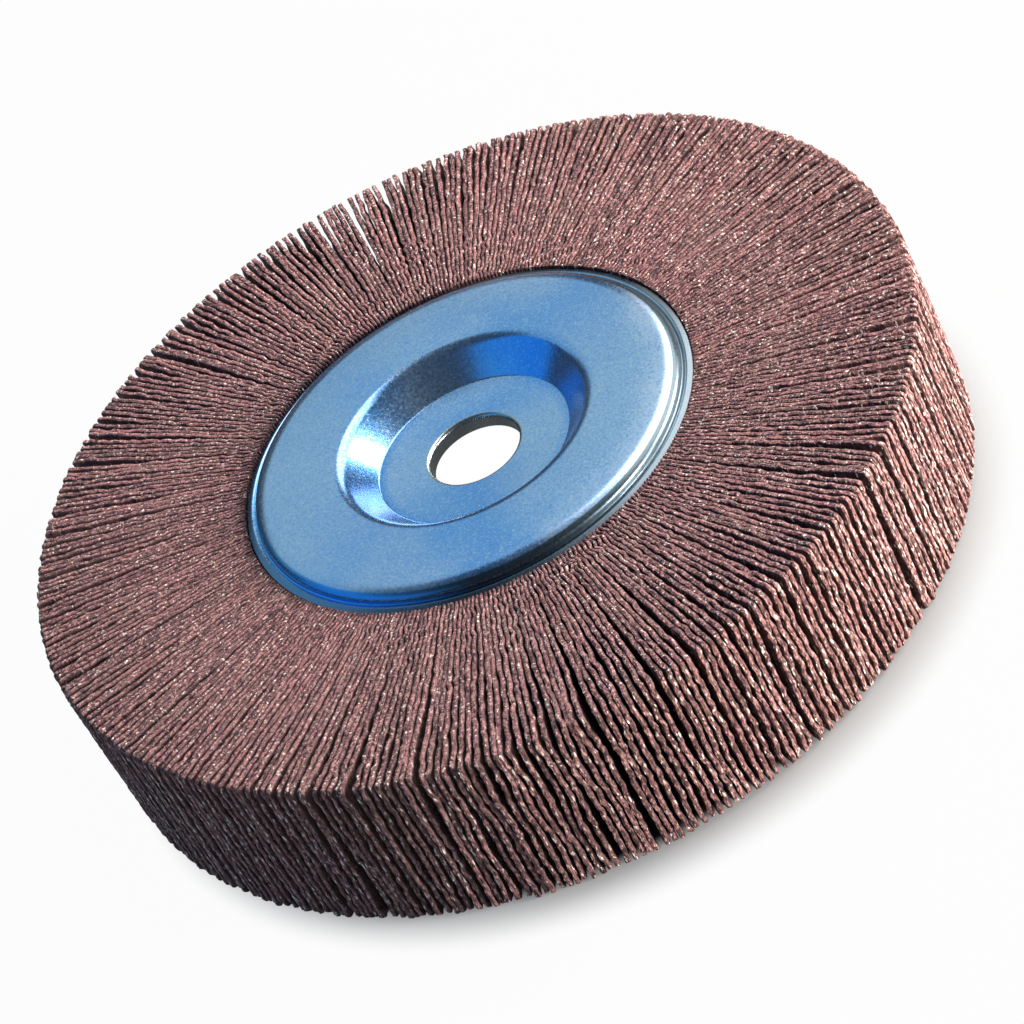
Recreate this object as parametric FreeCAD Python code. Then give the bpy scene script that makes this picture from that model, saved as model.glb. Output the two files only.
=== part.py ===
import FreeCAD, Part
import math
import os

# Abrasive mop wheel: a thick ring of coated cloth flaps, bonded at their roots by a resin core and
# clamped between two pressed steel flanges. The origin is the wheel's centre, on the bore axis and
# halfway through the width. The wheel lies flat on its rear side, with the front flange up (+Z).

# Overall sizes, in millimetres
wheel_diameter = 250.0
wheel_width = 50.0
bore_diameter = 25.4

# Flaps. All of them stand on edge round the core, glued into packs of neighbours.
flap_count = 360
flaps_per_set = 10
flaps_per_facet = 2
flap_thickness = 1.1
flap_pinch = 2.3
flap_corner = 1.2
root_grip = 7.3
bond_outset = 0.7
tip_ragged = 0.5
ragged_swing = 2.7

# Bunches. The flaps' tips lean together in bunches of two to six, with wider gaps between them.
bunch_count = 85
bunch_gap = 0.7
bunch_unevenness = 0.9
bunch_swing = 2.4
bunch_slack = 0.75
slack_swing = 1.7
tip_wander = 0.12
wander_swing = 2.1

# Sheet of both flanges
sheet = 1.5
flange_radius = 63.6
flap_clearance = 0.2
lip_clearance = 0.02

# Front flange: lip, shoulder, flat ring, recess and bore collar
lip_drop = 3.2
lip_ridge_height = 0.5
lip_ridge_inset = 1.6
lip_crease_inset = 3.0
lip_crease_fillet = 0.4
lip_ridge_fillet = 0.6
shoulder_run = 2.1
shoulder_fillet = 6.2
recess_mouth_radius = 35.2
recess_mouth_fillet = 5.2
recess_floor_radius = 27.3
recess_floor_fillet = 1.0
recess_depth = 8.4
bore_edge_fillet = 1.1
collar_edge_fillet = 0.4
collar_roll_width = 2.4

# Rear flange: hole over the collar, deep dish and lip
collar_clearance = 0.05
dish_floor_radius = 28.5
dish_floor_fillet = 2.0
rear_lip_width = 3.3
dish_mouth_fillet = 2.0
rear_lip_drop = 2.5

# Resin core
core_wall = 6.0
core_edge_relief = 1.5
dish_corner_relief = 1.0

# Heights and radii that follow from the sizes above
face_z = wheel_width / 2
wheel_radius = wheel_diameter / 2
bore_radius = bore_diameter / 2
collar_radius = bore_radius + sheet
recess_floor_z = face_z - recess_depth
front_web_back_z = recess_floor_z - sheet
rear_web_back_z = front_web_back_z - sheet
collar_end_z = rear_web_back_z - sheet
lip_z = face_z - lip_drop
lip_crease_radius = flange_radius - lip_crease_inset
lip_ridge_radius = flange_radius - lip_ridge_inset
dish_mouth_radius = flange_radius - rear_lip_width
rear_lip_z = rear_lip_drop - face_z
root_radius = flange_radius - root_grip
collar_edge = flange_radius + flap_clearance
bond_radius = flange_radius + bond_outset
pitch = 2 * math.pi / flap_count


def bisected_offset(before, corner, after, distance):
    """Move a corner of a bent line sideways, so that both of its runs move by the distance."""
    turn_in = math.atan2(corner[1] - before[1], corner[0] - before[0])
    turn_out = math.atan2(after[1] - corner[1], after[0] - corner[0])
    middle = turn_in + math.remainder(turn_out - turn_in, 2 * math.pi) / 2
    reach = distance / math.cos(middle - turn_in)
    return (corner[0] + reach * math.sin(middle), corner[1] - reach * math.cos(middle))


def back_of_sheet(front):
    """Corners of the sheet's hidden side, one sheet thickness from the corners of its seen side."""
    first = (2 * front[0][0] - front[1][0], 2 * front[0][1] - front[1][1])
    last = (2 * front[-1][0] - front[-2][0], 2 * front[-1][1] - front[-2][1])
    line = [first] + front + [last]
    return [bisected_offset(line[i - 1], line[i], line[i + 1], sheet) for i in range(1, len(line) - 1)]


def turns_right(before, corner, after):
    """True where the line bends to the right, which is the side that the metal lies on."""
    run = (corner[0] - before[0], corner[1] - before[1])
    next_run = (after[0] - corner[0], after[1] - corner[1])
    return run[0] * next_run[1] - run[1] * next_run[0] < 0


def rounded_outline(corners, radii):
    """A closed wire in the radius-height plane, with an arc at each corner that has a radius."""
    points = [FreeCAD.Vector(r, 0, z) for r, z in corners]
    edges = []
    start = None
    first = None
    count = len(points)
    for i in range(count):
        before = points[i - 1]
        corner = points[i]
        after = points[(i + 1) % count]
        to_before = (before - corner).normalize()
        to_after = (after - corner).normalize()
        entry = exit_point = corner
        if radii[i] > 0:
            half = to_before.getAngle(to_after) / 2
            entry = corner + to_before * (radii[i] / math.tan(half))
            exit_point = corner + to_after * (radii[i] / math.tan(half))
            towards_centre = (to_before + to_after).normalize()
            middle = corner + towards_centre * (radii[i] / math.sin(half) - radii[i])
        if start is not None:
            edges.append(Part.LineSegment(start, entry).toShape())
        else:
            first = entry
        if radii[i] > 0:
            edges.append(Part.Arc(entry, middle, exit_point).toShape())
        start = exit_point
    edges.append(Part.LineSegment(start, first).toShape())
    return Part.Wire(edges)


def revolved(wire):
    """The solid that an outline in the radius-height plane makes round the bore axis."""
    return Part.Face(wire).revolve(FreeCAD.Vector(0, 0, 0), FreeCAD.Vector(0, 0, 1), 360)


def pressed_sheet(front, front_radii):
    """A pressing: its seen side is the bent line, and the metal lies to the right of that line."""
    back = back_of_sheet(front)
    back_radii = [0] * len(front)
    for i in range(1, len(front) - 1):
        change = -sheet if turns_right(front[i - 1], front[i], front[i + 1]) else sheet
        if front_radii[i] > 0:
            back_radii[i] = max(0, front_radii[i] + change)
    return revolved(rounded_outline(front + back[::-1], front_radii + back_radii[::-1]))


# Seen side of each flange, from the bore outwards, as radius and height
front_line = [
    (collar_radius + collar_roll_width, collar_end_z),
    (bore_radius, collar_end_z),
    (bore_radius, recess_floor_z),
    (recess_floor_radius, recess_floor_z),
    (recess_mouth_radius, face_z),
    (lip_crease_radius - shoulder_run, face_z),
    (lip_crease_radius, lip_z),
    (lip_ridge_radius, lip_z + lip_ridge_height),
    (flange_radius, lip_z),
]
front_fillets = [
    0,
    collar_edge_fillet,
    bore_edge_fillet,
    recess_floor_fillet,
    recess_mouth_fillet,
    shoulder_fillet,
    lip_crease_fillet,
    lip_ridge_fillet,
    0,
]
rear_line = [
    (flange_radius, rear_lip_z),
    (dish_mouth_radius, rear_lip_z),
    (dish_floor_radius, rear_web_back_z),
    (collar_radius + collar_clearance, rear_web_back_z),
]
rear_fillets = [0, dish_mouth_fillet, dish_floor_fillet, 0]


def dish_outside_z(radius):
    """Height of the outside of the rear dish at a radius."""
    mouth, floor = back_of_sheet(rear_line)[1:3]
    share = (radius - mouth[0]) / (floor[0] - mouth[0])
    return mouth[1] + share * (floor[1] - mouth[1])


def lip_underside_z(front_flange):
    """The lowest point of the front flange over the flap roots, which is the bottom of its lip."""
    over_roots = Part.makeCylinder(flange_radius, wheel_width, FreeCAD.Vector(0, 0, -face_z))
    inside_roots = Part.makeCylinder(root_radius, wheel_width, FreeCAD.Vector(0, 0, -face_z))
    lip = front_flange.common(over_roots.cut(inside_roots))
    return lip.optimalBoundingBox(False, False).ZMin


def polar(radius, angle, height=0):
    """A point at a radius, an angle round the bore axis and a height."""
    return FreeCAD.Vector(radius * math.cos(angle), radius * math.sin(angle), height)


def flat_face(corners):
    """A flat face with straight edges."""
    return Part.Face(Part.makePolygon(corners + [corners[0]]))


def free_sector():
    """The space of one set outside the flanges, made of flat facets, with a spare one at each end."""
    pinched = face_z - flap_pinch
    bevel_start = wheel_radius - flap_corner
    past_tip = wheel_radius + tip_ragged
    bevel_end = face_z - flap_corner - tip_ragged
    half = [(collar_edge, pinched), (bevel_start, face_z), (past_tip, bevel_end)]
    section = half + [(radius, -height) for radius, height in reversed(half)]
    facet = flaps_per_facet * pitch
    rows = []
    for step in range(-1, math.ceil(flaps_per_set / flaps_per_facet) + 2):
        rows.append([polar(r / math.cos(facet / 2), step * facet, z) for r, z in section])
    faces = [flat_face(rows[0]), flat_face(rows[-1])]
    for row, next_row in zip(rows, rows[1:]):
        for i in range(len(section)):
            faces.append(flat_face([row[i - 1], row[i], next_row[i], next_row[i - 1]]))
    shell = Part.Shell(faces)
    shell.sewShape()
    return Part.Solid(shell)


def gripped_sector(front_flange):
    """The space of one set's roots between the flanges, which reaches a little into the free space."""
    top = lip_underside_z(front_flange) - lip_clearance
    bottom = rear_lip_z + sheet
    dish_corner = back_of_sheet(rear_line)[1][0]
    reach = (collar_edge + bond_radius) / 2
    section = [
        (root_radius, dish_outside_z(root_radius)),
        (dish_corner + dish_corner_relief, bottom),
        (reach, bottom),
        (reach, top),
        (root_radius, top),
    ]
    axis = FreeCAD.Vector(0, 0, 1)
    face = Part.Face(rounded_outline(section, [0] * len(section)))
    face.rotate(FreeCAD.Vector(0, 0, 0), axis, -math.degrees(pitch))
    return face.revolve(FreeCAD.Vector(0, 0, 0), axis, math.degrees(pitch * (flaps_per_set + 2)))


def bunch_start(number):
    """Index of a bunch's first flap, where the bunch after the last one starts a new turn."""
    turns, place = divmod(number, bunch_count)
    uneven = bunch_unevenness * math.sin(bunch_swing * place)
    return turns * flap_count + round(place * flap_count / bunch_count + uneven)


def tip_leans():
    """How far each flap's tip leans sideways, towards the middle of its bunch. Some bunches are slack."""
    spare = pitch * wheel_radius - flap_thickness - bunch_gap
    leans = []
    for number in range(bunch_count):
        pull = spare * (1 - bunch_slack * (1 + math.sin(slack_swing * number)) / 2)
        count = bunch_start(number + 1) - bunch_start(number)
        leans += [((count - 1) / 2 - place) * pull for place in range(count)]
    return [lean + tip_wander * math.sin(wander_swing * i) for i, lean in enumerate(leans)]


def flap_tip(index, lean):
    """The two tip corners of a flap in the middle plane. The tips are a little ragged."""
    middle = (index + 0.5) * pitch
    reach = wheel_radius - tip_ragged * (1 + math.sin(ragged_swing * index)) / 2
    tip = polar(reach, middle)
    across = polar(1, middle + math.pi / 2)
    return [tip + across * (lean - flap_thickness / 2), tip + across * (lean + flap_thickness / 2)]


def flap_set(first_index, leans, space):
    """Neighbouring flaps, bonded where their roots touch and free from the bond radius outwards."""
    start = first_index * pitch
    end = start + flaps_per_set * pitch
    outline = [polar(bond_radius, start)]
    for index in range(first_index, first_index + flaps_per_set):
        outline += flap_tip(index, leans[index])
        outline.append(polar(bond_radius, (index + 1) * pitch))
    outline.append(polar(root_radius, end))
    edges = [Part.LineSegment(a, b).toShape() for a, b in zip(outline, outline[1:])]
    root = [polar(root_radius, angle) for angle in (end, (start + end) / 2, start)]
    edges.append(Part.Arc(*root).toShape())
    edges.append(Part.LineSegment(root[2], outline[0]).toShape())
    comb = Part.Face(Part.Wire(edges)).extrude(FreeCAD.Vector(0, 0, wheel_width))
    comb.translate(FreeCAD.Vector(0, 0, -face_z))
    own_space = space.copy()
    own_space.rotate(FreeCAD.Vector(0, 0, 0), FreeCAD.Vector(0, 0, 1), math.degrees(start))
    return comb.common(own_space)


def resin_core():
    """The cast ring between the flap roots, the front flange and the rear dish."""
    inner = root_radius - core_wall
    top = face_z - sheet
    section = [
        (inner, dish_outside_z(inner)),
        (root_radius, dish_outside_z(root_radius)),
        (root_radius, top - core_edge_relief),
        (root_radius - core_edge_relief, top),
        (inner, top),
    ]
    return revolved(rounded_outline(section, [0] * len(section)))


def save(shape, name):
    """Write one piece. A boolean can leave a compound, so its solid is taken out first."""
    solids = shape.Solids
    if len(solids) != 1 or not solids[0].isValid():
        raise ValueError(name + " isn't one valid solid")
    solids[0].exportStep("parts/" + name + ".step")


def main():
    os.makedirs("parts", exist_ok=True)
    front_flange = pressed_sheet(front_line, front_fillets)
    save(front_flange, "front_flange")
    save(pressed_sheet(rear_line, rear_fillets), "rear_flange")
    save(resin_core(), "resin_core")
    space = free_sector().fuse(gripped_sector(front_flange))
    leans = tip_leans()
    for number in range(flap_count // flaps_per_set):
        name = "flap_set_{:02d}".format(number + 1)
        save(flap_set(number * flaps_per_set, leans, space), name)


main()
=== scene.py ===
import math

import bpy
import numpy as np
from mathutils import Matrix, Vector
from mathutils.geometry import delaunay_2d_cdt


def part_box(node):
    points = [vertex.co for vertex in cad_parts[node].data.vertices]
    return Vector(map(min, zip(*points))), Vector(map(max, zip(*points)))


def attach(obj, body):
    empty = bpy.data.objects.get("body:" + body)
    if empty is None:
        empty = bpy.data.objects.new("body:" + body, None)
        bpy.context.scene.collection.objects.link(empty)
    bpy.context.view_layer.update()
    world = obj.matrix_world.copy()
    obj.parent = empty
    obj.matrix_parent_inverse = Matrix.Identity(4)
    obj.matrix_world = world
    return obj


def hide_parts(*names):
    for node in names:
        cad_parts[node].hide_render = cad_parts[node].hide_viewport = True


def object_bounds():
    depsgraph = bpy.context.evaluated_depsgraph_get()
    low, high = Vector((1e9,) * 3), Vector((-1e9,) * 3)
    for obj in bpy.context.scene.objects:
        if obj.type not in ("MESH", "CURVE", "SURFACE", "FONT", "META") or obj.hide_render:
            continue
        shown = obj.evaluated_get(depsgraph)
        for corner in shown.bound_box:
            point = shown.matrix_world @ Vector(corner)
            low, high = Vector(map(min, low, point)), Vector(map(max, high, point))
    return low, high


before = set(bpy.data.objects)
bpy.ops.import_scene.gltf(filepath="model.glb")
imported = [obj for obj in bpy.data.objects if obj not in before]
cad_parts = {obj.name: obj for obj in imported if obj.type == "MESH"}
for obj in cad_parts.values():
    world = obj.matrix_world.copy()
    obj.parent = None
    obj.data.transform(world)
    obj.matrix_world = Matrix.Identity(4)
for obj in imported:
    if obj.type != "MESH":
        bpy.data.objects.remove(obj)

bl_info = {
    "name": "Abrasive mop wheel",
    "version": (1, 0, 0),
    "blender": (4, 5, 0),
    "location": "3D View > Sidebar > Mop Wheel",
    "description": "Dresses the solids of an abrasive mop wheel: flaps, pressed flanges and resin core",
    "category": "Add Mesh",
}

MM = 0.001
CAD_LOW, CAD_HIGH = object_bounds()
FLANGE_LOW, FLANGE_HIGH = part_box("front_flange")
REAR_LOW, REAR_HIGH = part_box("rear_flange")
FLAP_SETS = sorted(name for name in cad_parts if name.startswith("flap_set_"))

# Heights and radii that come from the frame
FACE_Z = FLANGE_HIGH.z
FLANGE_RADIUS = FLANGE_HIGH.x
COLLAR_END_Z = FLANGE_LOW.z
REAR_LIP_Z = REAR_LOW.z
FLOOR_Z = CAD_LOW.z

# How flaps gather in bunches, as the solid flaps do. The turns are in radians from one to the next.
BUNCH_SHIFT = 0.9
BUNCH_TURN = 2.4
SLACK_SHARE = 0.75
SLACK_TURN = 1.7
STRAY_LEAN = 0.12 * MM
STRAY_TURN = 2.1

# Waves of the flaps: their number, radians from flap to flap, and lengths along the radius and the height
CRINKLE_WAVES = (26, (0.25, 0.9), (3.5 * MM, 9 * MM), (12 * MM, 40 * MM))
SWAY_WAVES = (16, (0.3, 1.6), (25 * MM, 60 * MM), (18 * MM, 70 * MM))
RISE_WAVES = (14, (0.8, 3.0), (6 * MM, 30 * MM), (200 * MM, 400 * MM))

# Radii between which a zone of the plating starts or ends
BORE_END = (13.3 * MM, 14.2 * MM)
RECESS_FLOOR_END = (24 * MM, 27 * MM)
FACE_START = (34 * MM, 38 * MM)
PALE_RING_START = (46 * MM, 57 * MM)
SLOPE_START = (58.6 * MM, 59.0 * MM)
SLOPE_END = (61.3 * MM, 61.7 * MM)
LIP_START = (61.7 * MM, 61.9 * MM)

# Colours of the cast resin
RESIN_DARK = (0.20, 0.09, 0.04)
RESIN_PALE = (0.42, 0.22, 0.11)

# How finely arcs are drawn in a flange's profile, and the bend that still shades smooth, in degrees
ARC_STEP = 7.5
SMOOTH_BEND = 30

# The floor turns plain white between the first radii, and is plain white inside the second
UNDER_RIM = (119 * MM, 123 * MM)
UNDER_HUB = (64 * MM, 65 * MM)
HUB_IN_REFLECTIONS = 0.12

# Lamps: name, heading and height in degrees, distance, width and height in metres, watts and tint
LAMPS = [
    ("far_right_softbox", 39, 46, 1.1, 0.8, 0.84, 9, (1.0, 0.98, 0.94)),
    ("right_panel", 6, 17, 1.2, 0.62, 0.6, 29, (1.0, 0.95, 0.9)),
    ("right_spot", -36, 10, 1.2, 0.3, 0.3, 28, (1.0, 0.93, 0.86)),
    ("back_panel", 108, 42, 1.5, 1.4, 0.8, 2.35, (0.62, 0.90, 1.0)),
    ("blue_left_panel", -175, 32, 1.3, 1.6, 1.2, 4.4, (0.0, 0.42, 1.0)),
]
SKY_TINT = (0.80, 0.90, 1.0)

# The camera's place, its tilt up from straight down and its turn, in degrees
CAMERA_PLACE = (0.7 * MM, -759.6 * MM, 587.1 * MM)
CAMERA_TILT = 51.97
CAMERA_TURN = -29.03


def length(name, description, default):
    """A size in metres that a user can change."""
    return bpy.props.FloatProperty(name=name, description=description, default=default,
                                   unit="LENGTH", precision=5)


def amount(name, description, default):
    """A plain number that a user can change."""
    return bpy.props.FloatProperty(name=name, description=description, default=default)


def whole(name, description, default):
    """A count that a user can change."""
    return bpy.props.IntProperty(name=name, description=description, default=default, min=1)


def colour(name, description, default):
    """A colour that a user can change."""
    return bpy.props.FloatVectorProperty(name=name, description=description, default=default, size=3,
                                         subtype="COLOR", min=0, max=1)


class MopWheelFlaps(bpy.types.PropertyGroup):
    """Sizes and colours of the abrasive flaps"""

    wheel_radius: length("Wheel radius", "Radius that the longest flap tips reach", 125 * MM)
    root_radius: length("Root radius", "Radius of the flaps' hidden inner edge", 56.4 * MM)
    collar_gap: length("Collar gap", "Gap between the flange's edge and the flaps beside it", 0.25 * MM)
    pinch: length("Pinch", "How far the flap's sides fall towards the flange", 2.3 * MM)
    thickness: length("Thickness", "Thickness of the coated cloth with its grit and frayed edge", 1.3 * MM)
    corner: length("Corner radius", "Rounding of a flap's outer corners", 1.3 * MM)
    tip_ragged: length("Tip raggedness", "How much shorter the shortest flap is", 0.5 * MM)
    bunch_pull: length("Bunch pull", "Lean of a tip for each place from its bunch's middle", 0.31 * MM)
    bunches: whole("Bunches", "Number of bunches round the wheel", 85)
    packing: amount("Packing", "Largest share of the pitch that a flap's thickness takes", 0.82)
    crinkle: length("Crinkle", "Waviness of the flaps near their roots", 0.3 * MM)
    tip_wave: length("Tip wave", "Waviness of the flaps at their tips", 0.3 * MM)
    wobble: length("Wobble", "Short waves of each single flap", 0.08 * MM)
    tip_wobble: length("Tip wobble", "Short waves across each flap's tip", 0.09 * MM)
    fray: length("Fray", "Unevenness of the cut edges", 0.24 * MM)
    lumps: amount("Lumps", "Share by which grains and threads thicken or thin a cut edge", 0.11)
    seed: whole("Seed", "Start of the random numbers for waves and fray", 11)
    grit_size: length("Grit size", "Size of the abrasive grains", 0.44 * MM)
    grain_squash: amount("Grain squash", "Share of a height that counts in the grains", 0.4)
    streak_squash: amount("Streak squash", "Share of a height that counts in the dark streaks", 0.06)
    thread_squash: amount("Thread squash", "Share of a height that counts in the cut threads", 0.22)
    grit_dark: colour("Grit, dark", "Colour of the resin between grains", (0.06, 0.02, 0.024))
    grit_mid: colour("Grit, middle", "Colour of most grains", (0.44, 0.168, 0.166))
    grit_pale: colour("Grit, pale", "Colour of broken grains and frayed cloth", (0.74, 0.44, 0.41))
    grit_brown: colour("Grit, brown", "Colour of the browner patches", (0.30, 0.17, 0.13))
    tip_dust: colour("Tip dust", "Colour of the dust that darkens the tips", (0.14, 0.08, 0.05))
    cloth_back: colour("Cloth back", "Colour of the uncoated side", (0.16, 0.095, 0.10))
    # Near white: the cut threads' own colour, made pale to paint their glint, and the colour of painted
    # glints on single grains
    thread_and_glint: colour("Thread", "Colour of the cut threads at the tips", (1.0, 0.90, 0.78))
    crevice: colour("Crevice", "Colour of the shade deep between the flaps", (0.03, 0.011, 0.011))


class MopWheelPlating(bpy.types.PropertyGroup):
    """Sizes and colours of the pressed flanges"""

    sheet: length("Sheet", "Thickness of the sheet steel", 1.5 * MM)
    edge_round: length("Edge rounding", "Rounding of the cut edges", 0.2 * MM)
    turns: whole("Facets round", "Number of facets round a flange", 320)
    bore_radius: length("Bore radius", "Radius of the spindle hole", 12.7 * MM)
    bore_round: length("Bore rounding", "Rounding where the recess floor turns down into the bore", 1.1 * MM)
    collar_roll: length("Collar roll", "How far the collar's end rolls outwards", 2.4 * MM)
    recess_depth: length("Recess depth", "Depth of the dished centre below the face", 8.4 * MM)
    recess_floor: length("Recess floor radius", "Radius where the recess floor meets the cone", 27.3 * MM)
    recess_mouth: length("Recess mouth radius", "Radius where the cone meets the face", 35.2 * MM)
    mouth_round: length("Mouth rounding", "Rounding of the recess's mouth", 5.2 * MM)
    lip_drop: length("Lip drop", "How far the lip lies below the face", 3.2 * MM)
    lip_crease: length("Lip crease", "Distance of the crease from the flange's edge", 3.0 * MM)
    lip_ridge: length("Lip ridge", "Distance of the low ridge from the flange's edge", 1.6 * MM)
    ridge_height: length("Ridge height", "Height of the low ridge", 0.5 * MM)
    shoulder_run: length("Shoulder run", "How far out the gently falling shoulder runs", 2.32 * MM)
    shoulder_round: length("Shoulder rounding", "Rounding between face and shoulder", 7.0 * MM)
    wall_run: length("Wall run", "How far out the steep wall runs from shoulder to crease", 0.4 * MM)
    wall_height: length("Wall height", "Height of the steep wall from shoulder to crease", 1.86 * MM)
    wall_round: length("Wall rounding", "Rounding between shoulder and steep wall", 1.5 * MM)
    dish_mouth: length("Rear dish mouth", "Radius where the rear dish starts", 60.3 * MM)
    dish_floor: length("Rear dish floor", "Radius of the web at the bottom of the rear dish", 28.5 * MM)
    web_hole: length("Web hole", "Radius of the hole in the rear web, round the collar", 14.25 * MM)
    blue: colour("Plating blue", "Colour of the passivated zinc", (0.035, 0.30, 0.75))
    deep: colour("Plating, deep", "Colour where the passivation is thick", (0.04, 0.21, 0.60))
    # Pale: the colour of thin passivation in patches, and of the painted sheen lobes on the flat rings
    pale: colour("Plating, pale", "Colour where the passivation is thin", (0.42, 0.58, 0.76))
    bare: colour("Plating, bare", "Colour where the zinc itself shows", (0.62, 0.70, 0.78))
    # Bent: the painted dark reflection on the steep slope's lit side
    bent: colour("Plating, bent", "Colour of the slope, where the film cracked", (0.045, 0.065, 0.06))
    # Sunk: the painted reflection on the steep slope's other side, a saturated blue
    sunk: colour("Plating, sunk", "Colour of the slope where the film is thick", (0.03, 0.30, 0.68))
    bore_wall: colour("Plating, bore", "Colour of the drawn collar, with a thin film", (0.45, 0.45, 0.36))
    # Dull and dull blue: the lip painted darker, grey on the lit side and dark blue on the other, as painted
    # dark reflections
    dull: colour("Plating, dull", "Colour of the cut rim lip", (0.10, 0.125, 0.13))
    dull_blue: colour("Plating, dull blue", "Colour of the lip where the film is thick", (0.035, 0.14, 0.28))
    # Heading of the lit side: the painted sheen lobes lie along it, the paler outer ring lies towards it, and
    # slope and lip get their painted lit-side colours there
    lit_heading: amount("Pale side", "Heading in degrees of the paler of the flange's two pale sides", -19)
    roughness: amount("Roughness", "Mean roughness of the satin finish", 0.25)
    film_index: amount("Film index", "Refractive index of the clear film", 1.85)
    film_roughness: amount("Film roughness", "Roughness of the clear film", 0.2)


class MopWheelStage(bpy.types.PropertyGroup):
    """Floor, lights and camera"""

    floor_half: length("Floor half width", "Half of the floor's side", 4.0)
    floor_grey: amount("Floor grey", "How much light the floor throws back", 0.34)
    floor_lift: amount("Floor lift", "Share of plain white in the floor that the camera sees", 0.97)
    shadow_start: length("Shadow start", "Radius where the floor starts to turn plain white", 112 * MM)
    shadow_end: length("Shadow end", "Radius where the floor has turned plain white", 129 * MM)
    shadow_veil: amount("Shadow veil", "Share of plain white in the floor close to the wheel", 0.2)
    shadow_right: length("Shadow right", "How far the shadow's middle lies along X", 3 * MM)
    shadow_near: length("Shadow near", "How far the shadow's middle lies against Y", 11 * MM)
    lens: amount("Lens", "Focal length in millimetres on a 36 mm sensor", 126.7)
    shift_right: amount("Lens shift right", "Share of the picture by which the lens is shifted right", 0.0014)
    shift_down: amount("Lens shift down", "Share of the picture by which the lens is shifted down", 0.0032)
    ambient: amount("Ambient light", "Strength of the even light from all round", 0.10)


class Value:
    """The output of a shader node. Arithmetic on it adds Math nodes to the same tree."""

    def __init__(self, tree, socket):
        self.tree = tree
        self.socket = socket

    def math(self, operation, *others):
        node = self.tree.nodes.new("ShaderNodeMath")
        node.operation = operation
        for slot, other in zip(node.inputs, (self,) + others):
            feed(self.tree, slot, other)
        return Value(self.tree, node.outputs[0])

    def __add__(self, other):
        return self.math("ADD", other)

    def __sub__(self, other):
        return self.math("SUBTRACT", other)

    def __rsub__(self, other):
        return self.math("MULTIPLY", -1).math("ADD", other)

    def __mul__(self, other):
        return self.math("MULTIPLY", other)

    def other(self, name):
        """Another output of the same node."""
        return Value(self.tree, self.socket.node.outputs[name])

    def above(self, low, high):
        """0 below the low value and 1 above the high one, with a smooth ramp between."""
        node = self.tree.nodes.new("ShaderNodeMapRange")
        node.interpolation_type = "SMOOTHSTEP"
        feed(self.tree, node.inputs["Value"], self)
        node.inputs["From Min"].default_value = low
        node.inputs["From Max"].default_value = high
        return Value(self.tree, node.outputs["Result"])


def feed(tree, slot, value):
    """Give a node's input a link or a constant."""
    if isinstance(value, Value):
        tree.links.new(value.socket, slot)
    elif slot.type == "RGBA" and len(value) == 3:
        slot.default_value = (*value, 1.0)
    else:
        slot.default_value = value


class Finish:
    """A material under construction."""

    def __init__(self, name):
        self.material = bpy.data.materials.new(name)
        self.material.use_nodes = True
        self.tree = self.material.node_tree
        self.tree.nodes.clear()
        self.output = self.tree.nodes.new("ShaderNodeOutputMaterial")

    def add(self, kind, settings, sockets, result=0):
        """A node of a kind, with its settings made first, then its sockets. Returns one of its outputs."""
        node = self.tree.nodes.new(kind)
        for key, value in settings.items():
            setattr(node, key, value)
        for key, value in sockets.items():
            feed(self.tree, node.inputs[key], value)
        return Value(self.tree, node.outputs[result])

    def place(self):
        """Position on the wheel in metres."""
        return self.add("ShaderNodeTexCoord", {}, {}, "Object")

    def noise(self, place, size, detail=3.0, roughness=0.55):
        """Cloudy noise with features of about the given size in metres."""
        sockets = {"Vector": place, "Scale": 1 / size, "Detail": detail, "Roughness": roughness}
        return self.add("ShaderNodeTexNoise", {}, sockets, "Fac")

    def cells(self, place, size):
        """Grains of about the given size in metres: the distance to a grain's middle."""
        sockets = {"Vector": place, "Scale": 1 / size}
        return self.add("ShaderNodeTexVoronoi", {"feature": "F1"}, sockets, "Distance")

    def vector(self, operation, *values, result="Vector"):
        """A vector operation on the values."""
        sockets = dict(enumerate(values))
        return self.add("ShaderNodeVectorMath", {"operation": operation}, sockets, result)

    def scaled(self, place, factors):
        """A place with its three coordinates multiplied."""
        return self.vector("MULTIPLY", place, factors)

    def split(self, value, channel):
        """One channel of a colour."""
        return self.add("ShaderNodeSeparateColor", {}, {"Color": value}, channel)

    def blend(self, factor, first, second):
        """The first colour turned into the second by the factor."""
        settings = {"data_type": "RGBA", "clamp_factor": True}
        return self.add("ShaderNodeMix", settings, {0: factor, 6: first, 7: second}, 2)

    def paint(self, ground, layers):
        """The ground colour under layers, which each have a place, a strength and a colour."""
        for share, strength, tint in layers:
            ground = self.blend(share * strength, ground, tint)
        return ground

    def bump(self, height, depth, strength):
        """A Normal from a height of 0 to 1, where 1 stands for the depth in metres."""
        return self.add("ShaderNodeBump", {}, {"Height": height, "Distance": depth, "Strength": strength})

    def shade(self, sockets):
        """Finish the material with a Principled shader."""
        shader = self.add("ShaderNodeBsdfPrincipled", {}, sockets)
        self.tree.links.new(shader.socket, self.output.inputs["Surface"])
        return self.material


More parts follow.
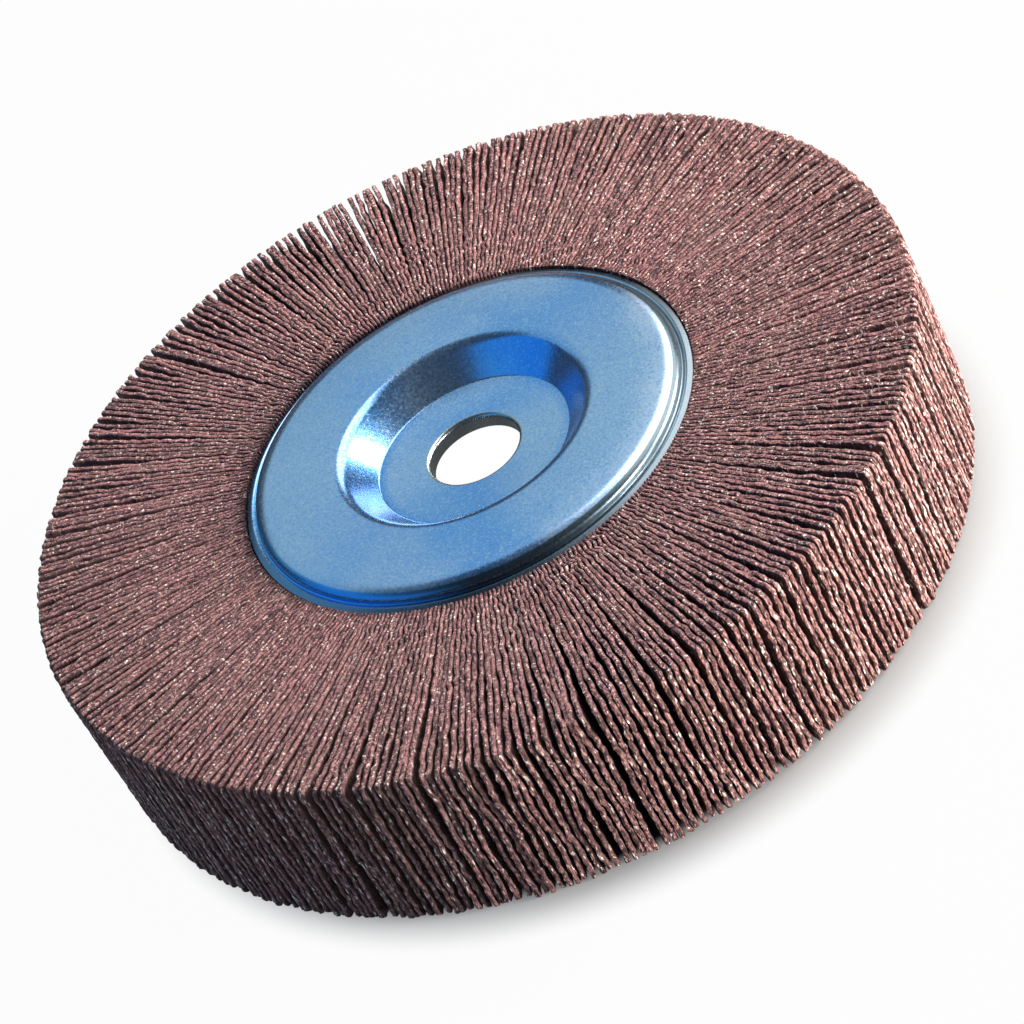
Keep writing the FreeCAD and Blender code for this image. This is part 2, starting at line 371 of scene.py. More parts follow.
def abrasive_finish(look):
    """Coarse reddish-brown grains in resin on stiff cloth, with painted shade and glints. The mesh marks the
    edges, backs and tips.
    """
    finish = Finish("abrasive_cloth")
    marks = finish.add("ShaderNodeAttribute", {"attribute_name": "flap_marks"}, {}, "Color")
    tone = finish.split(marks, 0)
    edge = finish.split(marks, 1)
    back = finish.split(marks, 2)
    tip = marks.other("Alpha")
    place = finish.scaled(finish.place(), (1, 1, look.grain_squash))
    grain = finish.cells(place, look.grit_size)
    chance = finish.split(grain.other("Color"), 0)
    flakes = finish.split(finish.cells(place, 1.3 * look.grit_size).other("Color"), 1)
    clumps = finish.noise(place, 2 * look.grit_size, 3.0, 0.75)
    drift = finish.noise(place, 30 * look.grit_size, 1.0)
    body = (clumps * 1.3 + chance * 0.8 + flakes * 0.4 + tone * 0.35 - 1.02).above(0.1, 0.7)
    fibre = (chance.above(0.5, 0.95) * 0.75 + clumps.above(0.5, 0.7) * 0.35) * (1 - back * 0.6)
    # Cut threads at the tips, painted near white so that they also show as painted glints
    strand = finish.cells(finish.scaled(finish.place(), (1, 1, look.thread_squash)), 1.4 * look.grit_size)
    rare = finish.split(strand.other("Color"), 0).above(0.89, 0.9)
    threads = rare * (1 - strand.above(0.28, 0.45)) * tip * edge
    combed = finish.scaled(finish.place(), (1, 1, look.streak_squash))
    streaks = finish.noise(combed, 0.9 * look.grit_size, 1.0)
    # Painted glints: a few grains get the near-white thread colour, as if they caught the light, fewer on the
    # backs
    painted_glint = chance.above(0.955, 0.965) * (1 - back * 0.7)
    coloured = finish.paint(finish.blend(body, look.grit_dark, look.grit_mid), [
        (drift.above(0.45, 0.7), 0.25, look.grit_brown),
        (tip, 0.15, look.tip_dust),
        (back, 0.7, look.cloth_back),
        (fibre * (tip * 0.2 + 0.7) * edge, 1, look.grit_pale),
        # Painted shade: the flap sides away from the marked edges, and the parts under the lip, take the
        # crevice colour
        (1 - edge, 0.85, look.crevice),
        # Dark streaks down the tips, painted in the same shade colour
        (streaks.above(0.52, 0.62) * tip, 0.6, look.crevice),
        (1 - tip, 0.12, look.grit_dark),
        (painted_glint * 0.8 + threads, 1, look.thread_and_glint),
    ])
    height = (1 - grain) * 0.6 + clumps * 1.6 + flakes * 0.3
    return finish.shade({
        "Base Color": coloured,
        "Roughness": 0.78 - (painted_glint + threads) * 0.4,
        "Specular IOR Level": 0.45,
        "Normal": finish.bump(height, 0.8 * look.grit_size, 1.0),
    })


def plating_finish(look):
    """Satin zinc under a clear film: a fine speckle, patches where the blue is thin, and painted sheen and
    reflections.
    """
    finish = Finish("blue_zinc")
    place = finish.place()
    speckle = finish.noise(place, 0.8 * MM, 2.0, 0.7)
    patches = finish.noise(place, 34 * MM, 2.0, 0.5)
    sparkle = finish.split(finish.cells(place, 0.42 * MM).other("Color"), 0)
    flat = finish.scaled(place, (1, 1, 0))
    radius = finish.vector("LENGTH", flat, result="Value")
    side = math.radians(look.lit_heading)
    toward = (math.cos(side), math.sin(side), 0)
    across = finish.vector("DOT_PRODUCT", finish.vector("NORMALIZE", flat), toward, result="Value")
    # Patches of paler bare zinc on the outer face ring, only on the half towards the lit heading
    worn = radius.above(*PALE_RING_START) * patches.above(0.3, 0.6) * across.above(-0.9, 0.3)
    slope = radius.above(*SLOPE_START) * (1 - radius.above(*SLOPE_END))
    lip = radius.above(*LIP_START)
    bore = 1 - radius.above(*BORE_END)
    level = radius.above(*FACE_START) + 1 - radius.above(*RECESS_FLOOR_END)
    # The side towards the lit heading, where slope and lip get their painted lit-side colours
    painted_lit_side = across.above(-0.5, 0.1)
    coloured = finish.paint(look.blue, [
        (patches.above(0.35, 0.75), 0.6, look.pale),
        # Painted sheen: the flat rings turn pale on the two sides along the lit heading, as a reflection lobe
        # would
        (across * across * level, 0.7, look.pale),
        (worn, 0.3, look.bare),
        (1 - speckle.above(0.3, 0.55), 0.4, look.deep),
        (speckle.above(0.58, 0.75), 0.45, look.bare),
        (sparkle.above(0.7, 1.0), 0.35, look.bare),
        (1 - sparkle.above(0.0, 0.3), 0.35, look.deep),
        # Painted reflections on the steep slope: dark on the lit side, saturated blue on the other
        (slope, 0.85, finish.blend(painted_lit_side, look.sunk, look.bent)),
        # Painted dark reflections on the lip, grey on the lit side and dark blue on the other
        (lip, 0.85, finish.blend(painted_lit_side, look.dull_blue, look.dull)),
        (bore, 0.8, look.bore_wall),
    ])
    return finish.shade({
        "Base Color": coloured,
        "Metallic": 1.0,
        "Roughness": (speckle - 0.5) * 0.25 + (patches - 0.5) * 0.15 + worn * 0.08 + look.roughness,
        "Coat Weight": 1 - (slope + lip + bore) * 0.7,
        "Coat Roughness": look.film_roughness,
        "Coat IOR": look.film_index,
        "Normal": finish.bump(speckle, 0.02 * MM, 0.6),
    })


def resin_finish():
    """Cast amber-brown epoxy."""
    finish = Finish("epoxy_resin")
    cloud = finish.noise(finish.place(), 6 * MM)
    coloured = finish.blend(cloud, RESIN_DARK, RESIN_PALE)
    normal = finish.bump(cloud, 0.3 * MM, 0.3)
    return finish.shade({"Base Color": coloured, "Roughness": cloud * 0.2 + 0.28, "Normal": normal})


def new_piece(name, mesh, material, nodes):
    """Put a finished mesh in the scene, in place of the solids it stands for."""
    piece = bpy.data.objects.new(name, mesh)
    bpy.context.scene.collection.objects.link(piece)
    mesh.materials.append(material)
    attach(piece, "root")
    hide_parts(*nodes)


def resample(line, step):
    """Points along a bent line, its own corners among them, no further apart than the step."""
    points = [line[0]]
    for start, end in zip(line, line[1:]):
        count = max(1, round(math.dist(start, end) / step))
        for i in range(1, count + 1):
            share = i / count
            points.append((start[0] + share * (end[0] - start[0]), start[1] + share * (end[1] - start[1])))
    return points


def corner_arc(centre, radius, start, end, count):
    """Points on an arc in the radius-height plane, from one angle to another in degrees."""
    angles = [math.radians(start + (end - start) * i / count) for i in range(count + 1)]
    return [(centre[0] + radius * math.cos(a), centre[1] + radius * math.sin(a)) for a in angles]


def inset(loop, distance):
    """The closed loop moved inwards, corner by corner. The loop runs clockwise in radius and height."""
    points = np.array(loop)
    before = points - np.roll(points, 1, axis=0)
    after = np.roll(points, -1, axis=0) - points
    before /= np.linalg.norm(before, axis=1)[:, None]
    after /= np.linalg.norm(after, axis=1)[:, None]
    tangent = before + after
    tangent /= np.linalg.norm(tangent, axis=1)[:, None]
    inward = np.stack([tangent[:, 1], -tangent[:, 0]], axis=1)
    stretch = np.clip(np.sum(tangent * after, axis=1), 0.6, 1.0)
    return points + inward * (distance / stretch)[:, None]


class FlapSheet:
    """The plain sheet that all flaps share: points by radius and height, and the faces between them.

    Free goes from 0 at the flange to 1 at the tip, and loose is 0 only where the flange holds the flap.
    """

    edge_step = 0.9 * MM
    hidden_step = 4.0 * MM
    inner_step = 6.5 * MM
    # The rounding of the edge: how far in its two rows lie, the first row's share of half the thickness,
    # and how strongly each row is marked as edge
    first_inset = 0.12 * MM
    second_inset = 0.7 * MM
    first_side = 0.86
    first_mark = 0.85
    second_mark = 0.25
    corner_facets = 4
    # Gaps to the metal and to the wheel's face, and the bevel over the foot of the rear dish
    front_gap = 0.05 * MM
    rear_gap = 0.1 * MM
    face_gap = 0.02 * MM
    bevel_run = 5 * MM
    bevel_rise = 5.2 * MM
    # The flap comes free of the flange from this far inside its edge, and over this run
    grip_inside = 1 * MM
    grip_run = 3 * MM

    def __init__(self, look):
        self.collar_radius = FLANGE_RADIUS + look.collar_gap
        outline = self.outline(look)
        count = len(outline)
        rim = np.array(outline)
        shoulder = inset(outline, self.first_inset)
        flat = inset(outline, self.second_inset)
        inner = self.inner_points(flat)
        middle = [tuple(point) for point in flat] + inner
        found = delaunay_2d_cdt([Vector(p) / MM for p in middle], [], [list(range(count))], 1, 1e-4)
        original = [ids[0] for ids in found[3]]
        triangles = [[original[i] for i in face] for face in found[2]]
        inner = np.array(inner).reshape(-1, 2)
        many = len(inner)
        self.points = np.concatenate([rim, shoulder, shoulder, flat, flat, inner, inner])
        self.sides = np.concatenate([
            np.zeros(count), np.full(count, self.first_side), np.full(count, -self.first_side),
            np.ones(count), -np.ones(count), np.ones(many), -np.ones(many),
        ])
        self.edges = np.concatenate([
            np.ones(count), np.full(2 * count, self.first_mark),
            np.full(2 * count, self.second_mark), np.zeros(2 * many),
        ])
        self.rough_count = 3 * count
        beyond = self.points[:, 0] - self.collar_radius
        self.free = np.clip(beyond / (look.wheel_radius - self.collar_radius), 0, 1)
        self.loose = np.clip((beyond + self.grip_inside) / self.grip_run, 0, 1)
        self.faces = self.join(count, many, triangles)

    def outline(self, look):
        """The flap's edge, clockwise from the inner end of its front edge."""
        plating = bpy.context.scene.mop_wheel_plating
        under_lip = FACE_Z - plating.lip_drop - plating.sheet - self.front_gap
        over_rear_lip = REAR_LIP_Z + plating.sheet + self.rear_gap
        pinched = FACE_Z - look.pinch
        radius = look.corner
        tip = look.wheel_radius
        seen_front = [(self.collar_radius, pinched), (tip - radius, FACE_Z - self.face_gap)]
        arc = corner_arc((tip - radius, FACE_Z - radius), radius, 90, 0, self.corner_facets)
        back_arc = [(r, -z) for r, z in reversed(arc)]
        front = resample([(look.root_radius, under_lip), (self.collar_radius, under_lip)], self.hidden_step)
        front += resample(seen_front, self.edge_step)[:-1] + arc
        rim = resample([arc[-1], back_arc[0]], self.edge_step)[1:-1]
        rear = back_arc + resample([(r, -z) for r, z in reversed(seen_front)], self.edge_step)[1:]
        bevel_foot = (look.root_radius + self.bevel_run, over_rear_lip)
        bevel_top = (look.root_radius, over_rear_lip + self.bevel_rise)
        hidden = [(self.collar_radius, over_rear_lip), bevel_foot, bevel_top]
        back = resample(hidden, self.hidden_step)
        inside = resample([back[-1], front[0]], self.hidden_step)[1:-1]
        return front + rim + rear + back + inside

    def inner_points(self, flat):
        """A coarse grid of points well inside the flat part."""
        low = flat.min(axis=0) + self.inner_step / 2
        high = flat.max(axis=0) - self.inner_step / 2
        columns = np.arange(low[0] + self.inner_step, high[0], self.inner_step)
        rows = np.arange(low[1] + self.inner_step, high[1] - self.inner_step / 2, self.inner_step * 1.25)
        return [(r, z) for r in columns for z in rows]

    def join(self, count, many, triangles):
        """Triangles of the rounded edge and of both sides."""
        faces = []
        bands = [(0, 1, False), (0, 2, True), (1, 3, False), (2, 4, True)]
        for outer, inner, flipped in bands:
            for i in range(count):
                j = (i + 1) % count
                a, b = outer * count + i, outer * count + j
                c, d = inner * count + j, inner * count + i
                quad = [(a, b, c), (a, c, d)]
                faces += [(p, r, q) for p, q, r in quad] if flipped else quad
        for side, shift in ((3, 0), (4, many)):
            for face in triangles:
                placed = [side * count + i if i < count else 5 * count + shift + i - count for i in face]
                faces.append(tuple(reversed(placed)) if side == 3 else tuple(placed))
        return np.array(faces)


def wave_field(random, count, per_flap, radial, axial):
    """A smooth field over flap number, radius and height, made of sine waves. It swings about -1 to 1."""
    waves = np.stack([
        random.uniform(*per_flap, count) * random.choice([-1, 1], count),
        2 * math.pi / random.uniform(*radial, count) * random.choice([-1, 1], count),
        2 * math.pi / random.uniform(*axial, count) * random.choice([-1, 1], count),
        random.uniform(0, 2 * math.pi, count),
    ])

    def field(flap, radius, height):
        total = np.zeros_like(radius)
        for by_flap, by_radius, by_height, phase in waves.T:
            total += np.sin(by_flap * flap + by_radius * radius + by_height * height + phase)
        return total / math.sqrt(count)

    return field


def bunch_start(number, bunches, flaps):
    """Index of a bunch's first flap. The same rule gathers the solid flaps."""
    turns, place = divmod(number, bunches)
    return turns * flaps + round(place * flaps / bunches + BUNCH_SHIFT * math.sin(BUNCH_TURN * place))


def tip_leans(look, flaps):
    """How far each flap's tip leans sideways, towards the middle of its bunch. Some bunches are slack."""
    leans = []
    for number in range(look.bunches):
        pull = look.bunch_pull * (1 - SLACK_SHARE * (1 + math.sin(SLACK_TURN * number)) / 2)
        count = bunch_start(number + 1, look.bunches, flaps) - bunch_start(number, look.bunches, flaps)
        leans += [((count - 1) / 2 - place) * pull for place in range(count)]
    return [lean + STRAY_LEAN * math.sin(STRAY_TURN * i) for i, lean in enumerate(leans)]


class MOPWHEEL_OT_flaps(bpy.types.Operator):
    """Build the flaps: one piece for each bonded set, with rounded, frayed and wavy edges"""

    bl_idname = "mop_wheel.flaps"
    bl_label = "Build flaps"
    flaps_per_set = 10
    # Wear of the cut edges, its share at the flange, and how far out the side edges and the tip edge go
    wear = (-1, 0.2)
    root_fray = 0.4
    side_end = 0.985
    tip_start = 0.97
    ragged_turn = 2.7
    # How far single flaps stay below the front face and the rear face, in millimetres
    front_drop = (0, 0.35)
    rear_drop = (0, 1.1)
    rise_height = 0.16 * MM
    drop_power = 4
    # A flap's own waves: from and to which length in millimetres, and how many
    crinkle_fade = 2.2
    own_waves = (3, 11, 4)
    own_stretch = 2.5
    tip_waves = (3.5, 9, 3)
    tip_wave_slope = 0.6
    slant_spread = 0.22
    root_lumps = 0.5
    # The marked tip fades in over this run, and reaches this many runs inwards
    tip_run = 2 * MM
    tip_reach = 1.4

    def execute(self, context):
        look = context.scene.mop_wheel_flaps
        sheet = FlapSheet(look)
        material = abrasive_finish(look)
        random = np.random.default_rng(look.seed)
        flaps = self.flaps_per_set * len(FLAP_SETS)
        leans = tip_leans(look, flaps)
        self.crinkle = wave_field(random, *CRINKLE_WAVES)
        self.sway = wave_field(random, *SWAY_WAVES)
        self.rise = wave_field(random, *RISE_WAVES)
        for number, node in enumerate(FLAP_SETS):
            points = []
            marks = []
            for index in range(number * self.flaps_per_set, (number + 1) * self.flaps_per_set):
                placed, marked = self.flap(look, sheet, random, index, flaps, leans[index])
                points.append(placed)
                marks.append(marked)
            self.add_set(node + "_cloth", node, sheet, points, marks, material)
        return {"FINISHED"}

    def flap(self, look, sheet, random, index, flaps, lean):
        """Points and marks of one flap. The random draws follow the order of the calls."""
        pitch = 2 * math.pi / flaps
        radius, height = self.worn_outline(look, sheet, random, index)
        wave = self.waves(look, sheet, random, index, radius, height)
        half = self.half_thickness(look, sheet, random, pitch * radius)
        across = lean * sheet.free + wave * sheet.loose + half * sheet.sides
        angle = (index + 0.5) * pitch
        x = radius * math.cos(angle) - across * math.sin(angle)
        y = radius * math.sin(angle) + across * math.cos(angle)
        z = np.clip(height, FLOOR_Z, FACE_Z)
        tone = np.full(len(radius), random.uniform(0, 1))
        back = np.clip(sheet.sides, 0, 1)
        tip = np.clip((radius - look.wheel_radius) / self.tip_run + self.tip_reach, 0, 1)
        marks = np.stack([tone, sheet.edges * sheet.loose, back, tip], axis=1)
        return np.stack([x, y, z], axis=1), marks

    def worn_outline(self, look, sheet, random, index):
        """Radius and height of the flap's points, with worn edges and sides that sink below the faces."""
        radius = sheet.points[:, 0]
        height = sheet.points[:, 1]
        worn = np.zeros(len(radius))
        worn[:sheet.rough_count] = random.uniform(*self.wear, sheet.rough_count)
        fray = look.fray * (self.root_fray + (1 - self.root_fray) * sheet.free)
        worn *= sheet.edges * sheet.loose * fray
        drops = (random.uniform(*self.front_drop), random.uniform(*self.rear_drop))
        lowered = np.where(height > 0, *drops) * MM
        low = (lowered + self.rise_height * self.rise(index, radius, height)) * sheet.loose
        sunk = np.maximum(low, 0) * (np.abs(height) / FACE_Z) ** self.drop_power
        short = look.tip_ragged * (1 + math.sin(self.ragged_turn * index)) / 2
        new_height = height + np.sign(height) * (worn * (sheet.free < self.side_end) - sunk)
        new_radius = radius - short * sheet.free ** 3 + worn * (sheet.free > self.tip_start)
        return new_radius, new_height

    def waves(self, look, sheet, random, index, radius, height):
        """How far the flap's points stand aside: waves shared with its neighbours, its own, and a slant."""
        free = sheet.free
        aside = look.crinkle * np.exp(-free * self.crinkle_fade) * self.crinkle(index, radius, height)
        aside += look.tip_wave * free * self.sway(index, radius, height)
        # Two phases for each own wave. The ninth is only drawn to keep the draws after it as they are.
        phases = random.uniform(0, 2 * math.pi, 9)
        for k, wavelength in enumerate(random.uniform(*self.own_waves) * MM):
            turn = 2 * math.pi / wavelength
            upward = np.cos(turn * height / self.own_stretch + phases[k + 4])
            aside += look.wobble * np.sin(turn * radius + phases[k]) * upward
        lengths = random.uniform(*self.tip_waves) * MM
        for wavelength, phase in zip(lengths, random.uniform(0, 2 * math.pi, len(lengths))):
            along = 2 * math.pi * (height + self.tip_wave_slope * radius) / wavelength
            aside += look.tip_wobble * free ** 2 * np.sin(along + phase)
        slant = random.normal(0, self.slant_spread) * MM
        return aside + slant * height / FACE_Z * free

    def half_thickness(self, look, sheet, random, room):
        """Half of the flap's thickness at its points, where the pitch gives it this room."""
        half = np.minimum(look.thickness, room * look.packing) / 2
        lumps = np.zeros(len(room))
        lumps[:sheet.rough_count] = random.normal(0, look.lumps, sheet.rough_count)
        return half * (1 + lumps * sheet.loose * (self.root_lumps + (1 - self.root_lumps) * sheet.free))

    def add_set(self, name, node, sheet, points, marks, material):
        """One mesh for the flaps of a set."""
        size = len(sheet.points)
        faces = np.concatenate([sheet.faces + size * i for i in range(len(points))])
        mesh = bpy.data.meshes.new(name)
        mesh.from_pydata(np.concatenate(points).tolist(), [], faces.tolist())
        colours = mesh.color_attributes.new("flap_marks", "FLOAT_COLOR", "POINT")
        colours.data.foreach_set("color", np.concatenate(marks).ravel())
        mesh.shade_flat()
        new_piece(name, mesh, material, [node])


def offset_line(line, distance):
    """The bent line moved sideways to its right, with each of its runs moved by the distance."""
    first = (2 * line[0][0] - line[1][0], 2 * line[0][1] - line[1][1])
    last = (2 * line[-1][0] - line[-2][0], 2 * line[-1][1] - line[-2][1])
    longer = [first] + line + [last]
    moved = []
    for before, corner, after in zip(longer, longer[1:], longer[2:]):
        turn_in = math.atan2(corner[1] - before[1], corner[0] - before[0])
        turn_out = math.atan2(after[1] - corner[1], after[0] - corner[0])
        middle = turn_in + math.remainder(turn_out - turn_in, 2 * math.pi) / 2
        reach = distance / math.cos(middle - turn_in)
        moved.append((corner[0] + reach * math.sin(middle), corner[1] - reach * math.cos(middle)))
    return moved


def rounded_profile(corners, radii, arc_step):
    """A closed profile with an arc at each corner that has a radius. The step is in degrees."""
    points = []
    count = len(corners)
    for i, corner in enumerate(corners):
        radius = radii[i]
        if radius <= 0:
            points.append(corner)
            continue
        here = Vector(corner)
        to_before = (Vector(corners[i - 1]) - here).normalized()
        to_after = (Vector(corners[(i + 1) % count]) - here).normalized()
        half = to_before.angle(to_after) / 2
        centre = here + (to_before + to_after).normalized() * (radius / math.sin(half))
        start = here + to_before * (radius / math.tan(half)) - centre
        end = here + to_after * (radius / math.tan(half)) - centre
        sweep = math.atan2(start.x * end.y - start.y * end.x, start.dot(end))
        steps = max(2, round(abs(math.degrees(sweep)) / arc_step))
        for k in range(steps + 1):
            turned = Matrix.Rotation(sweep * k / steps, 2) @ start
            points.append((centre.x + turned.x, centre.y + turned.y))
    return points


def pressing(name, line, fillets, look):
    """The mesh of a pressed flange: its seen side is the line, and the metal lies to the line's right."""
    sheet = look.sheet
    back = offset_line(line, sheet)
    back_fillets = [look.edge_round] * len(line)
    for i in range(1, len(line) - 1):
        run = (line[i][0] - line[i - 1][0], line[i][1] - line[i - 1][1])
        next_run = (line[i + 1][0] - line[i][0], line[i + 1][1] - line[i][1])
        right = run[0] * next_run[1] - run[1] * next_run[0] < 0
        back_fillets[i] = max(0.0, fillets[i] + (-sheet if right else sheet)) if fillets[i] > 0 else 0.0
    profile = rounded_profile(line + back[::-1], fillets + back_fillets[::-1], ARC_STEP)
    rows = np.array(profile)
    turns = look.turns
    angles = np.arange(turns) * 2 * math.pi / turns
    x = np.outer(np.cos(angles), rows[:, 0])
    y = np.outer(np.sin(angles), rows[:, 0])
    z = np.tile(rows[:, 1], (turns, 1))
    points = np.stack([x, y, z], axis=2).reshape(-1, 3)
    count = len(rows)
    faces = []
    for i in range(turns):
        j = (i + 1) % turns
        for k in range(count):
            m = (k + 1) % count
            faces.append((i * count + k, i * count + m, j * count + m, j * count + k))
    mesh = bpy.data.meshes.new(name)
    mesh.from_pydata(points.tolist(), [], faces)
    mesh.shade_smooth()
    mesh.set_sharp_from_angle(angle=math.radians(SMOOTH_BEND))
    return mesh


class MOPWHEEL_OT_front_flange(bpy.types.Operator):
    """Build the front flange: rim lip, rounded shoulder, flat ring, dished recess and bore collar"""

    bl_idname = "mop_wheel.front_flange"
    bl_label = "Build front flange"
    collar_edge_round = 0.2 * MM
    collar_end_round = 0.4 * MM
    floor_round = 1.0 * MM
    crease_round = 0.4 * MM
    ridge_round = 0.6 * MM

    def execute(self, context):
        look = context.scene.mop_wheel_plating
        recess_floor = FACE_Z - look.recess_depth
        lip = FACE_Z - look.lip_drop
        crease = FLANGE_RADIUS - look.lip_crease
        corners = [
            (look.bore_radius + look.sheet + look.collar_roll, COLLAR_END_Z, self.collar_edge_round),
            (look.bore_radius, COLLAR_END_Z, self.collar_end_round),
            (look.bore_radius, recess_floor, look.bore_round),
            (look.recess_floor, recess_floor, self.floor_round),
            (look.recess_mouth, FACE_Z, look.mouth_round),
            (crease - look.wall_run - look.shoulder_run, FACE_Z, look.shoulder_round),
            (crease - look.wall_run, lip + look.wall_height, look.wall_round),
            (crease, lip, self.crease_round),
            (FLANGE_RADIUS - look.lip_ridge, lip + look.ridge_height, self.ridge_round),
            (FLANGE_RADIUS, lip, look.edge_round),
        ]
        line = [corner[:2] for corner in corners]
        fillets = [corner[2] for corner in corners]
        mesh = pressing("front_flange_plated", line, fillets, look)
        new_piece("front_flange_plated", mesh, plating_finish(look), ["front_flange"])
        return {"FINISHED"}


class MOPWHEEL_OT_rear_flange(bpy.types.Operator):
    """Build the rear flange: a deep dish that clamps the flap roots from the back"""

    bl_idname = "mop_wheel.rear_flange"
    bl_label = "Build rear flange"
    dish_round = 2.0 * MM

    def execute(self, context):
        look = context.scene.mop_wheel_plating
        web = REAR_HIGH.z - look.sheet
        line = [
            (FLANGE_RADIUS, REAR_LIP_Z),
            (look.dish_mouth, REAR_LIP_Z),
            (look.dish_floor, web),
            (look.web_hole, web),
        ]
        fillets = [look.edge_round, self.dish_round, self.dish_round, look.edge_round]
        mesh = pressing("rear_flange_plated", line, fillets, look)
        new_piece("rear_flange_plated", mesh, plating_finish(look), ["rear_flange"])
        return {"FINISHED"}


class MOPWHEEL_OT_resin_core(bpy.types.Operator):
    """Give the cast core its amber resin finish"""

    bl_idname = "mop_wheel.resin_core"
    bl_label = "Finish resin core"

    def execute(self, context):
        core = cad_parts["resin_core"]
        material = resin_finish()
        for slot in core.material_slots:
            slot.material = material
        return {"FINISHED"}


def from_centre(azimuth, elevation, distance):
    """A point at a distance from the wheel's centre, with its angles in degrees."""
    a = math.radians(azimuth)
    e = math.radians(elevation)
    return Vector((math.cos(a) * math.cos(e), math.sin(a) * math.cos(e), math.sin(e))) * distance


def softbox(name, azimuth, elevation, distance, width, height, watts, tint):
    """A rectangular lamp that faces the wheel's centre."""
    lamp = bpy.data.lights.new(name, "AREA")
    lamp.shape = "RECTANGLE"
    lamp.size = width
    lamp.size_y = height
    lamp.energy = watts
    lamp.color = tint
    holder = bpy.data.objects.new(name, lamp)
    bpy.context.scene.collection.objects.link(holder)
    holder.location = from_centre(azimuth, elevation, distance)
    holder.rotation_euler = (-holder.location).to_track_quat("-Z", "Y").to_euler()


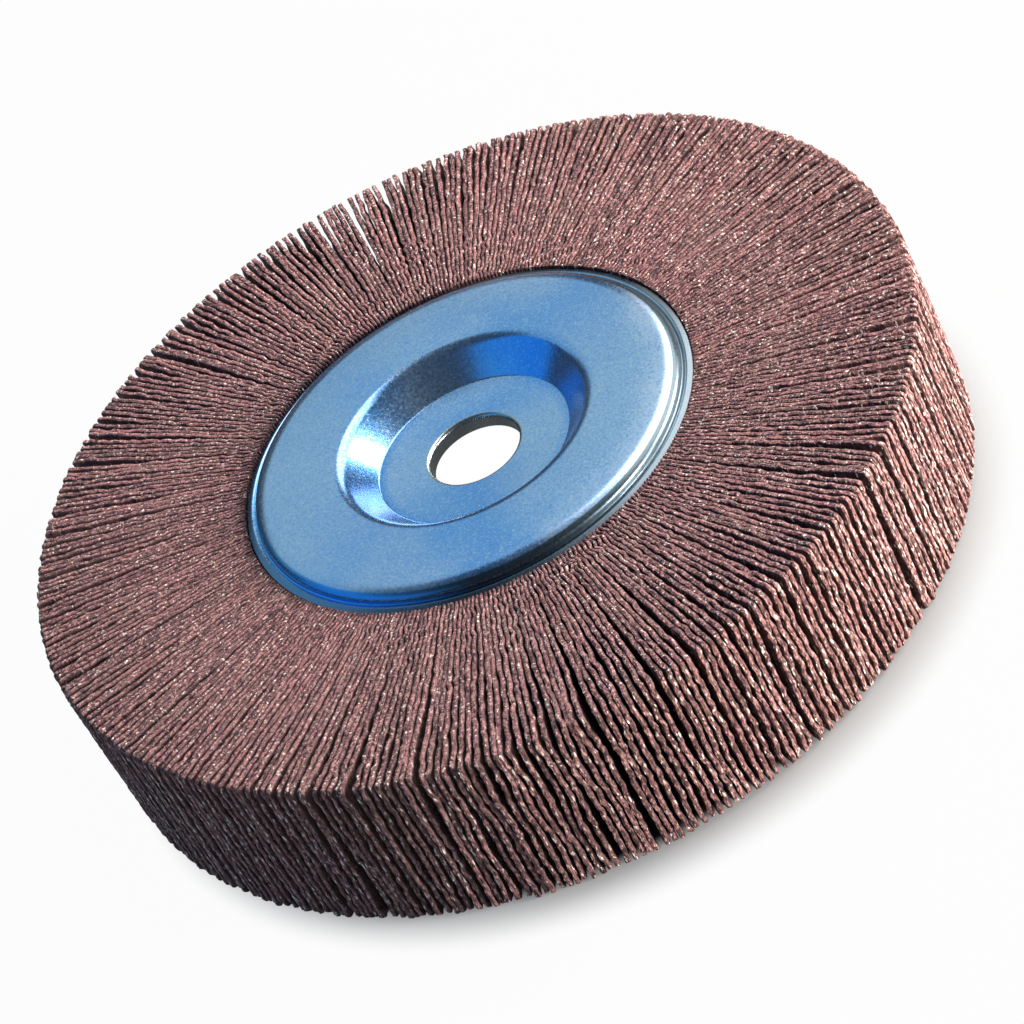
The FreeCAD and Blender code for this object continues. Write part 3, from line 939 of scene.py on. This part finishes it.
class MOPWHEEL_OT_stage(bpy.types.Operator):
    """Lay the pale floor, hang the lamps and set up the camera"""

    bl_idname = "mop_wheel.stage"
    bl_label = "Build stage"

    def execute(self, context):
        look = context.scene.mop_wheel_stage
        self.floor(look)
        self.world(look)
        for lamp in LAMPS:
            softbox(*lamp)
        self.camera(context, look)
        context.scene.view_settings.view_transform = "Standard"
        return {"FINISHED"}

    def floor(self, look):
        half = look.floor_half
        mesh = bpy.data.meshes.new("floor")
        corners = [(-half, -half), (half, -half), (half, half), (-half, half)]
        mesh.from_pydata([(x, y, FLOOR_Z) for x, y in corners], [], [(0, 1, 2, 3)])
        floor = bpy.data.objects.new("floor", mesh)
        bpy.context.scene.collection.objects.link(floor)
        mesh.materials.append(self.floor_finish(look))

    def floor_finish(self, look):
        """Matt white that the camera and reflections see lighter. Under the hub it is plain white."""
        finish = Finish("floor_white")
        grey = look.floor_grey
        matt = finish.add("ShaderNodeBsdfDiffuse", {}, {"Color": (grey, grey, grey)})
        camera = finish.add("ShaderNodeLightPath", {}, {}, "Is Camera Ray")
        glossy = camera.other("Is Glossy Ray")
        seen = camera.math("MAXIMUM", glossy).math("MAXIMUM", camera.other("Is Transmission Ray"))
        flat = finish.scaled(finish.place(), (1, 1, 0))
        distance = finish.vector("LENGTH", flat, result="Value")
        middle = (look.shadow_right, -look.shadow_near, 0)
        reach = finish.vector("DISTANCE", flat, middle, result="Value")
        outside = reach.above(look.shadow_start, look.shadow_end)
        white = finish.add("ShaderNodeEmission", {}, {"Color": (1, 1, 1), "Strength": 1.0})
        beyond = distance.above(*UNDER_RIM) * seen
        share = (outside * (look.floor_lift - look.shadow_veil) + look.shadow_veil) * beyond
        lifted = finish.add("ShaderNodeMixShader", {}, {0: share, 1: matt, 2: white})
        hub = (1 - distance.above(*UNDER_HUB)) * (glossy * HUB_IN_REFLECTIONS + camera)
        surface = finish.add("ShaderNodeMixShader", {}, {0: hub, 1: lifted, 2: white})
        finish.tree.links.new(surface.socket, finish.output.inputs["Surface"])
        return finish.material

    def world(self, look):
        """Even light from all round, and plain white where the camera sees past the floor."""
        world = bpy.data.worlds.new("studio")
        bpy.context.scene.world = world
        world.use_nodes = True
        tree = world.node_tree
        tree.nodes.clear()
        path = tree.nodes.new("ShaderNodeLightPath")
        dim = tree.nodes.new("ShaderNodeBackground")
        dim.inputs["Color"].default_value = (*SKY_TINT, 1)
        dim.inputs["Strength"].default_value = look.ambient
        white = tree.nodes.new("ShaderNodeBackground")
        white.inputs["Strength"].default_value = 1.0
        mix = tree.nodes.new("ShaderNodeMixShader")
        out = tree.nodes.new("ShaderNodeOutputWorld")
        tree.links.new(path.outputs["Is Camera Ray"], mix.inputs[0])
        tree.links.new(dim.outputs[0], mix.inputs[1])
        tree.links.new(white.outputs[0], mix.inputs[2])
        tree.links.new(mix.outputs[0], out.inputs["Surface"])

    def camera(self, context, look):
        lens = bpy.data.cameras.new("camera")
        lens.sensor_width = 36.0
        lens.lens = look.lens
        lens.shift_x = look.shift_right
        lens.shift_y = -look.shift_down
        lens.clip_start = 0.05
        lens.clip_end = 50.0
        holder = bpy.data.objects.new("camera", lens)
        context.scene.collection.objects.link(holder)
        tilt = Matrix.Rotation(math.radians(CAMERA_TILT), 4, "X")
        turn = Matrix.Rotation(math.radians(CAMERA_TURN), 4, "Z")
        holder.matrix_world = Matrix.Translation(CAMERA_PLACE) @ tilt @ turn
        context.scene.camera = holder


class MOPWHEEL_PT_panel(bpy.types.Panel):
    """Sizes, colours and build steps of the mop wheel"""

    bl_idname = "MOPWHEEL_PT_panel"
    bl_label = "Mop Wheel"
    bl_space_type = "VIEW_3D"
    bl_region_type = "UI"
    bl_category = "Mop Wheel"

    def draw(self, context):
        layout = self.layout
        for group, steps in PANEL_ROWS.items():
            box = layout.box()
            look = getattr(context.scene, group)
            for key in look.bl_rna.properties.keys():
                if key not in ("rna_type", "name"):
                    box.prop(look, key)
            for step in steps:
                box.operator(step.bl_idname)


PANEL_ROWS = {
    "mop_wheel_flaps": [MOPWHEEL_OT_flaps],
    "mop_wheel_plating": [MOPWHEEL_OT_front_flange, MOPWHEEL_OT_rear_flange, MOPWHEEL_OT_resin_core],
    "mop_wheel_stage": [MOPWHEEL_OT_stage],
}
GROUPS = {
    "mop_wheel_flaps": MopWheelFlaps,
    "mop_wheel_plating": MopWheelPlating,
    "mop_wheel_stage": MopWheelStage,
}
STEPS = [step for steps in PANEL_ROWS.values() for step in steps]


def register():
    for kind in list(GROUPS.values()) + STEPS + [MOPWHEEL_PT_panel]:
        bpy.utils.register_class(kind)
    for name, group in GROUPS.items():
        setattr(bpy.types.Scene, name, bpy.props.PointerProperty(type=group))


def unregister():
    for name in GROUPS:
        delattr(bpy.types.Scene, name)
    for kind in reversed(list(GROUPS.values()) + STEPS + [MOPWHEEL_PT_panel]):
        bpy.utils.unregister_class(kind)


def main():
    register()
    bpy.ops.mop_wheel.stage()
    bpy.ops.mop_wheel.front_flange()
    bpy.ops.mop_wheel.rear_flange()
    bpy.ops.mop_wheel.resin_core()
    bpy.ops.mop_wheel.flaps()


if __name__ == "__main__":
    main()
